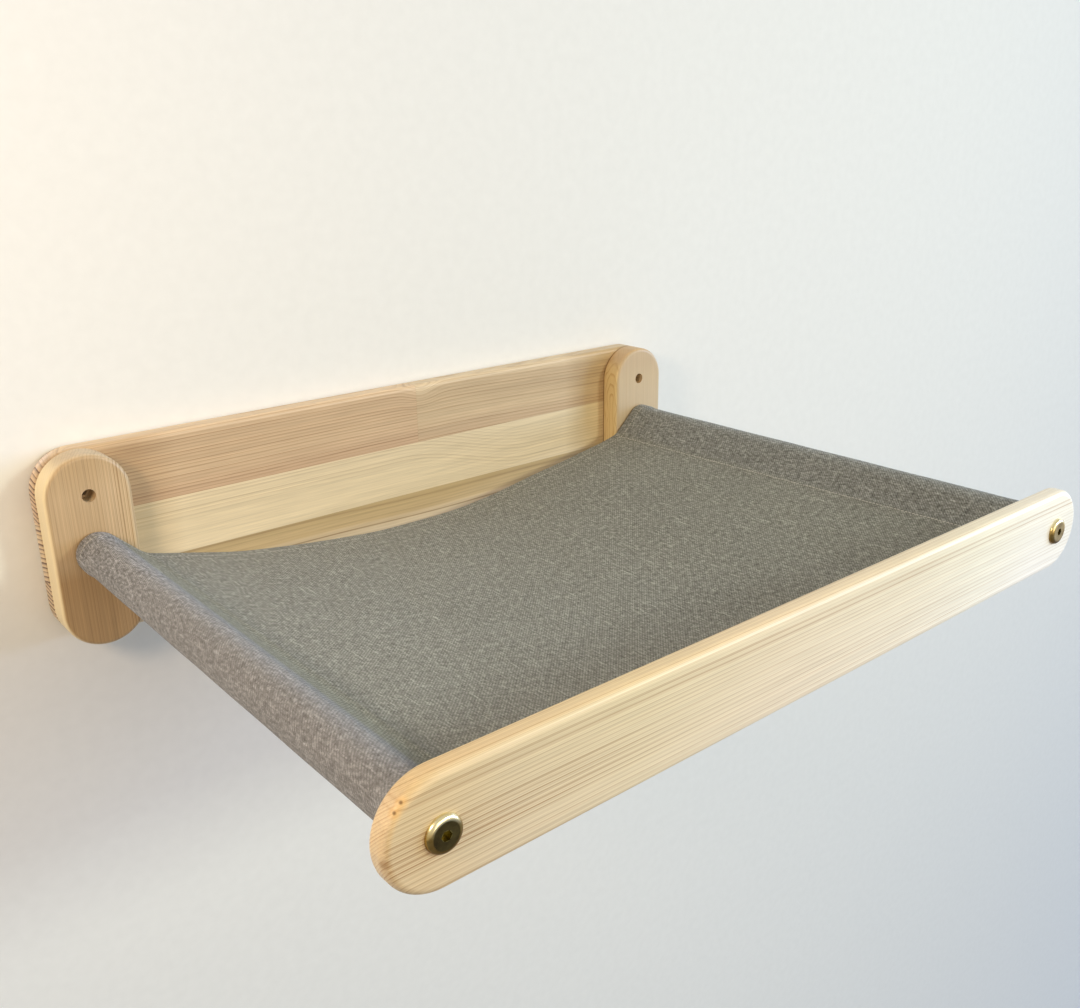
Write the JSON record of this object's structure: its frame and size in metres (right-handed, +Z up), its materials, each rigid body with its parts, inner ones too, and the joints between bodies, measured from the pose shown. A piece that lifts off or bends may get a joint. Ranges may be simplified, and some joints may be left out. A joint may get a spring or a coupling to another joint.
{
  "type": "cat wall hammock",
  "caption": "Wall-mounted pet hammock: a pine back board with round-ended uprights, parallel rods, a front rail bolted to them and a grey woven sling hung between the rods.",
  "frame": {"origin": "on the wall, midway between the two rods, at the height of their axes", "axes": "+X along the wall to the right as seen from the room, -Y from the wall into the room, +Z up"},
  "size_m": [0.623, 0.485, 0.15],
  "materials": {
    "top_stave": "oiled, satin",
    "middle_stave": "oiled, satin",
    "bottom_stave": "oiled, satin",
    "uprights": "oiled, satin",
    "rods": "oiled, satin",
    "front_rail": "oiled, satin",
    "bolts": "polished yellow plating",
    "inserts": "plain",
    "screws": "zinc plated",
    "cloth": "woven, grey melange"
  },
  "bodies": {
    "wall_frame": {"top_stave": "top_stave", "middle_stave": "middle_stave", "bottom_stave": "bottom_stave", "left_upright": "uprights", "left_rod": "rods", "left_rear_insert": "inserts", "left_front_insert": "inserts", "left_rear_bolt": "bolts", "left_upper_screw": "screws", "left_lower_screw": "screws", "right_upright": "uprights", "right_rod": "rods", "right_rear_insert": "inserts", "right_front_insert": "inserts", "right_rear_bolt": "bolts", "right_upper_screw": "screws", "right_lower_screw": "screws"},
    "rail": {"front_rail": "front_rail"},
    "sling": {"fabric_sling": "cloth"},
    "left_bolt": {"left_front_bolt": "bolts"},
    "right_bolt": {"right_front_bolt": "bolts"}
  },
  "joints": [
    {"name": "rail_off", "type": "slide", "parent": "wall_frame", "child": "rail", "axis": [0, -1, 0], "range_m": [0, 0.45]},
    {"name": "sling_off", "type": "slide", "parent": "wall_frame", "child": "sling", "axis": [0, -1, 0], "range_m": [0, 0.441]},
    {"name": "left_bolt_out", "type": "slide", "parent": "rail", "child": "left_bolt", "axis": [0, -1, 0], "range_m": [0, 0.035]},
    {"name": "right_bolt_out", "type": "slide", "parent": "rail", "child": "right_bolt", "axis": [0, -1, 0], "range_m": [0, 0.035]}
  ],
  "couplings": [
    {"joint": "sling_off", "follows": "rail_off", "ratio": 0.98}
  ]
}
